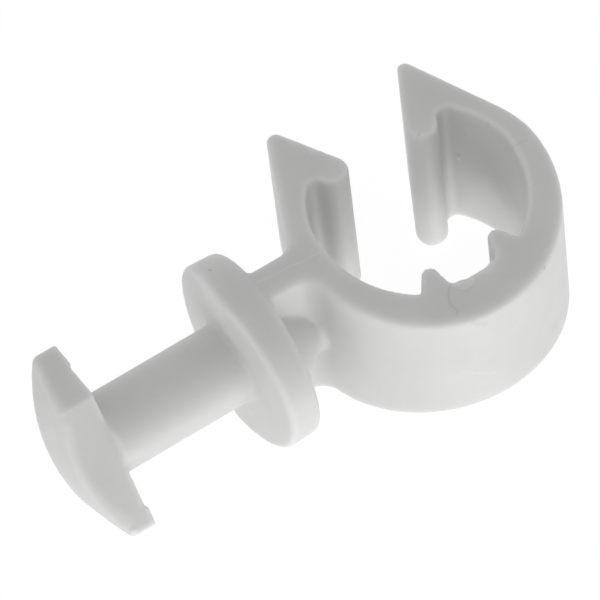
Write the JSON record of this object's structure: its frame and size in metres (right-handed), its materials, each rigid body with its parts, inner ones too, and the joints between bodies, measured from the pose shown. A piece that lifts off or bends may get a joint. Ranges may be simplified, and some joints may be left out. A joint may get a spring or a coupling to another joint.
{
  "type": "threaded rod clip",
  "caption": "Moulded plastic clip that snaps onto a threaded rod: an open ring with inner ribs and sprung jaws, a collar, and a twist-in head on a short stem.",
  "frame": {"origin": "on the axis of the rod that the ring holds, at half the ring's width", "axes": "+X from the twist-in head to the ring, parallel to the stem; +Y out of the ring's mouth; +Z along the rod"},
  "size_m": [0.0374, 0.0197, 0.0136],
  "materials": {
    "white_plastic": "natural white moulded plastic, fine matte"
  },
  "bodies": {
    "root": {"rod_clip": "white_plastic"}
  },
  "joints": []
}
